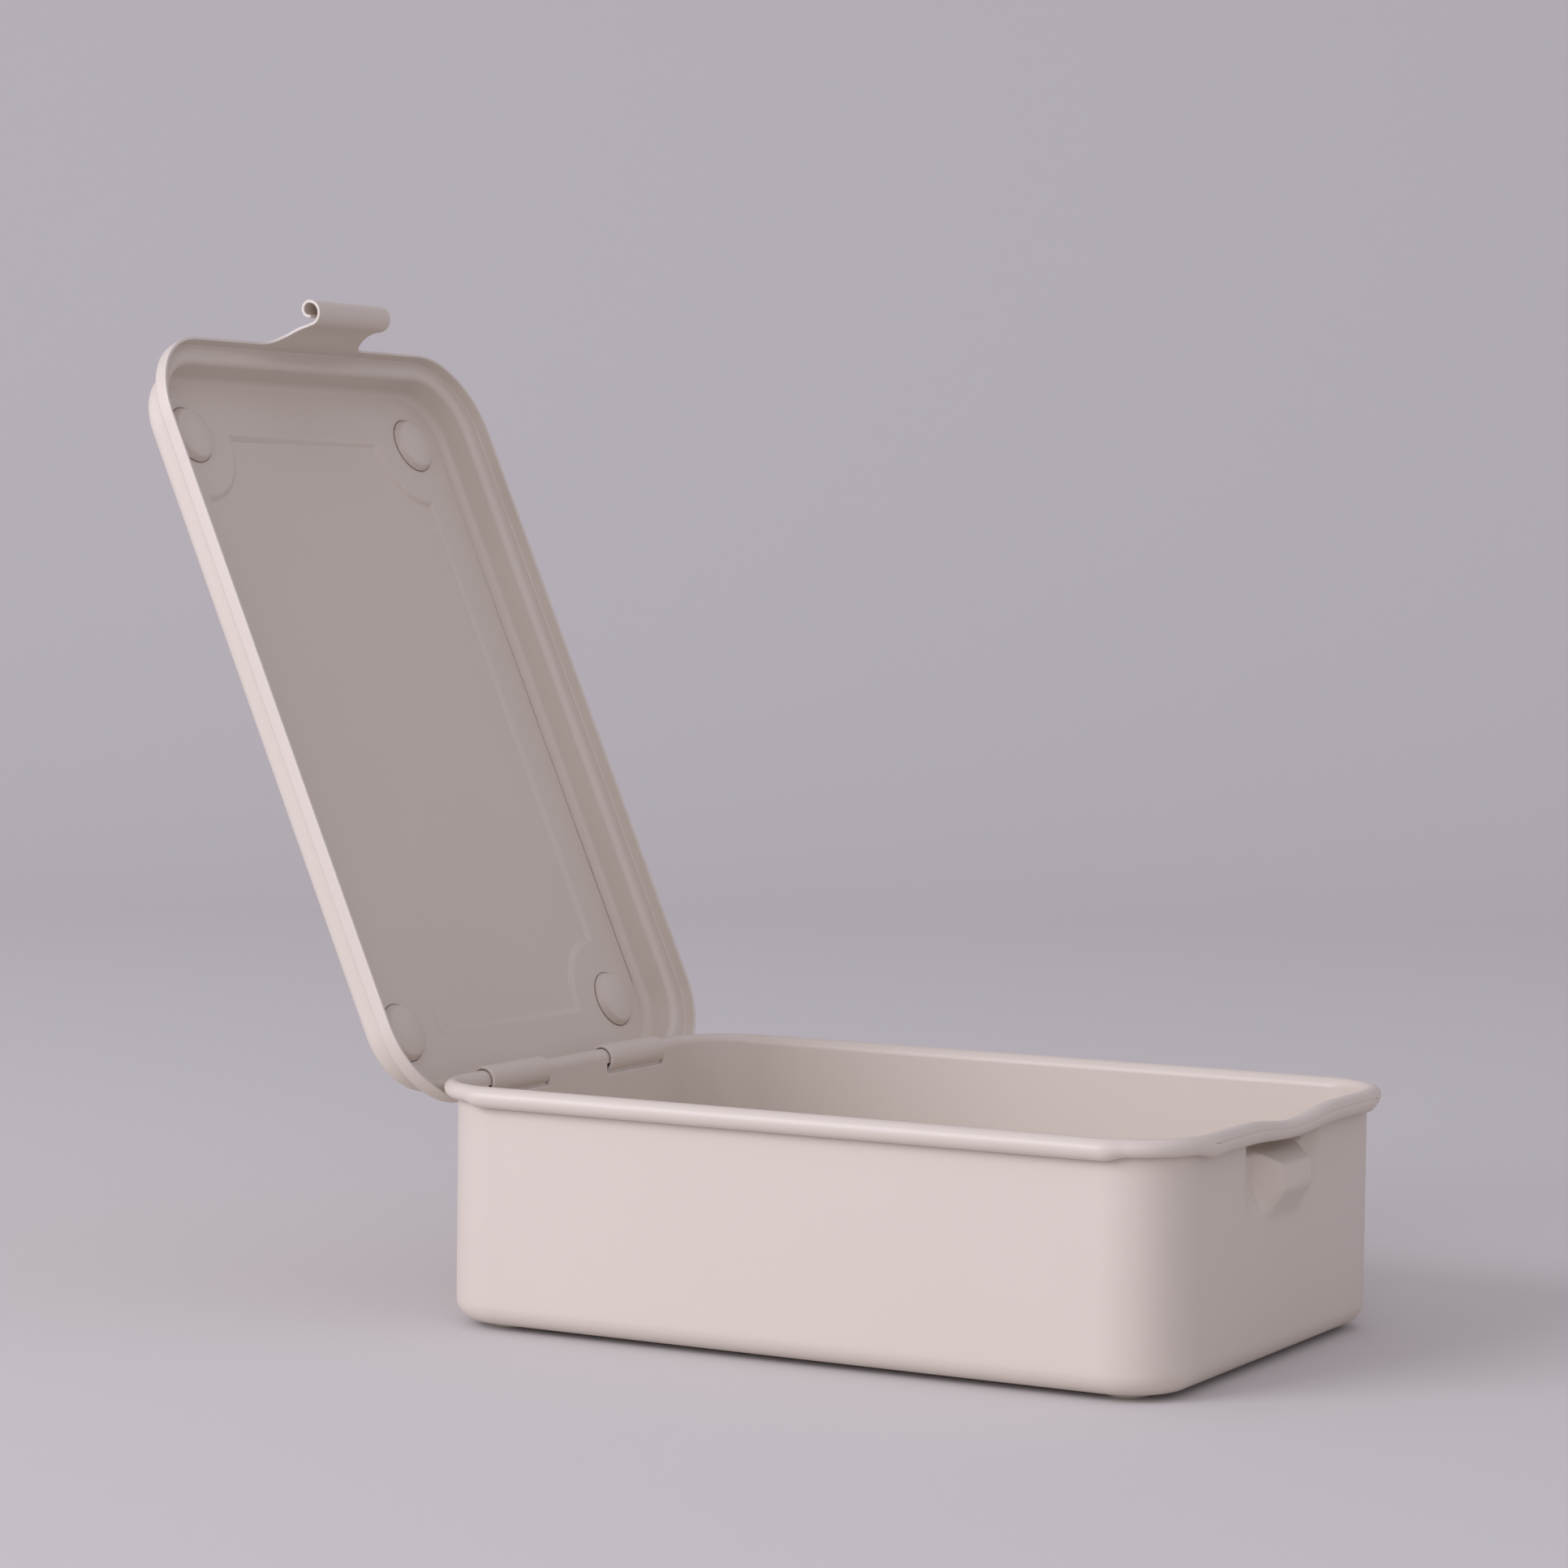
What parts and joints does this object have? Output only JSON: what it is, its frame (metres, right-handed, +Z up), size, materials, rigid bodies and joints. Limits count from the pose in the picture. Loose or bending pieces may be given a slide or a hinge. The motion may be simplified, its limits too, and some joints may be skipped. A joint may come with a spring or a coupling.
{
  "type": "hinged steel box",
  "caption": "Shallow pressed-steel box with a rolled rim, pressed feet, and a lid hung on the rim that leans open and shuts with a rolled finger clasp.",
  "frame": {"origin": "on the ground plane below the middle of the open box's bounding box", "axes": "+X from the hinge end to the clasp end, +Y across the box, +Z up; the feet stand on z = 0"},
  "size_m": [0.2991, 0.1482, 0.2599],
  "materials": {
    "tray_paint": "satin powder coat, ivory",
    "lid_paint": "satin powder coat, ivory"
  },
  "bodies": {
    "tray": {"tray_shell": "tray_paint"},
    "lid": {"lid_shell": "lid_paint"}
  },
  "joints": [
    {"name": "lid_hinge", "type": "hinge", "parent": "tray", "child": "lid", "pos_m": [-0.05677, 0, 0.05906], "axis": [0, 1, 0], "range_deg": [0, 114]}
  ]
}
